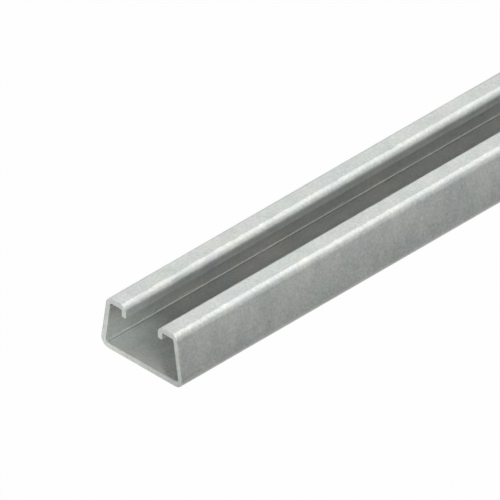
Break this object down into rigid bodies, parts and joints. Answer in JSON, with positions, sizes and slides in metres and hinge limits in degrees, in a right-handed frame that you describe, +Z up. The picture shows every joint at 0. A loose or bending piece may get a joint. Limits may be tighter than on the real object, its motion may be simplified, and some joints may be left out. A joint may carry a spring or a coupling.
{
  "type": "c-channel",
  "caption": "Plain galvanised-steel C-rail: flat base, side walls leaning inwards, flat flanges and short lips turned down beside a lengthwise slot.",
  "frame": {"origin": "on the underside of the base, midway across the rail and midway along it", "axes": "+X across the rail, +Y along its length, +Z up out of the slot"},
  "size_m": [0.028, 1, 0.0152],
  "materials": {
    "galvanised_steel": "dull hot-dip zinc with a fine grain, faint soft mottling and a brighter line along each bend"
  },
  "bodies": {
    "root": {"channel": "galvanised_steel"}
  },
  "joints": []
}
